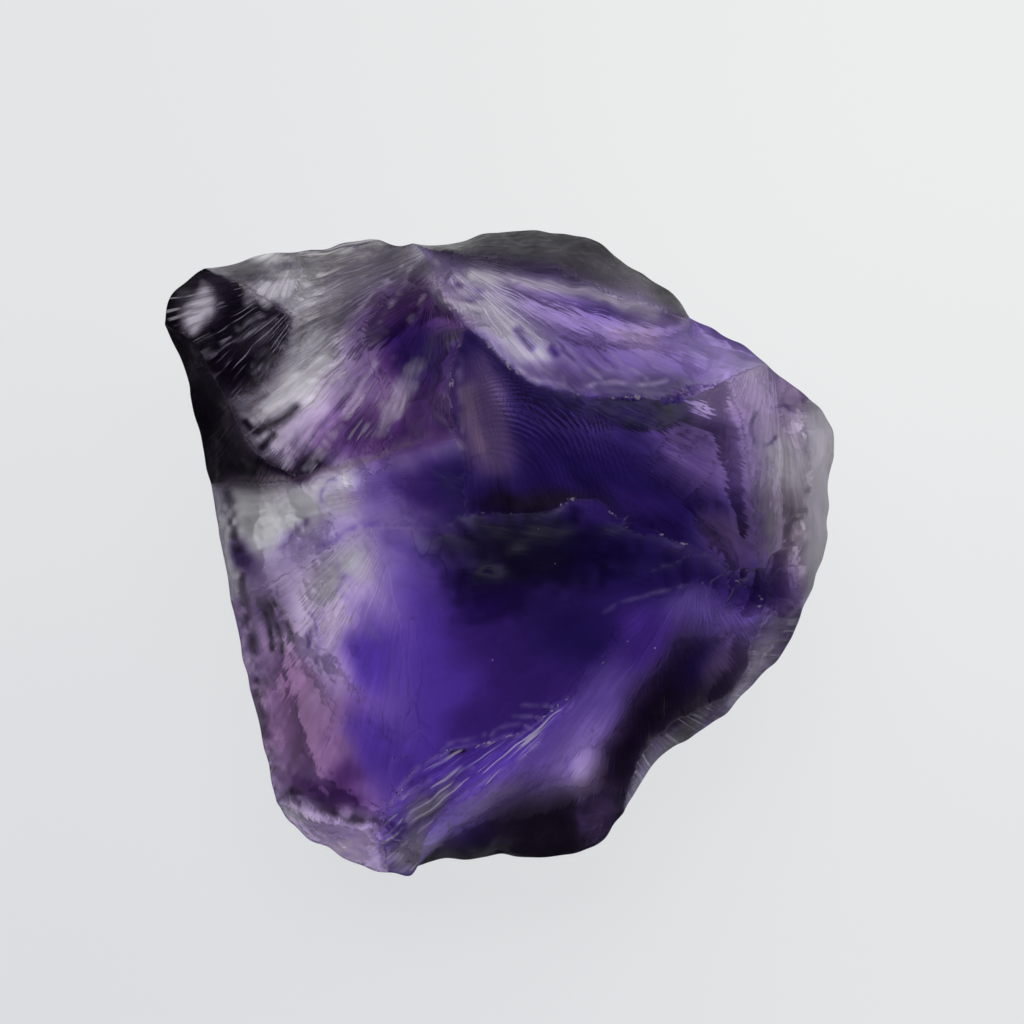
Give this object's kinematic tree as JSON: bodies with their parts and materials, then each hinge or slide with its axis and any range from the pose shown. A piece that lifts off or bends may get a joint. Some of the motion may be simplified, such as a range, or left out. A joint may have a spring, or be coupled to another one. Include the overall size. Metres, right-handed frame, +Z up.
{
  "type": "rough amethyst",
  "caption": "Piece of clear purple amethyst rough, broken on all sides into curved fracture faces with sharp ridges, resting on a flat face.",
  "frame": {"origin": "on the resting plane, under the middle of the stone's bounding box", "axes": "+X to the right and +Y to the top of the picture, +Z up from the flat face the stone rests on"},
  "size_m": [0.024, 0.0232, 0.013],
  "materials": {
    "amethyst": "clear violet quartz with glassy, finely rippled fracture faces"
  },
  "bodies": {
    "root": {"amethyst": "amethyst"}
  },
  "joints": []
}
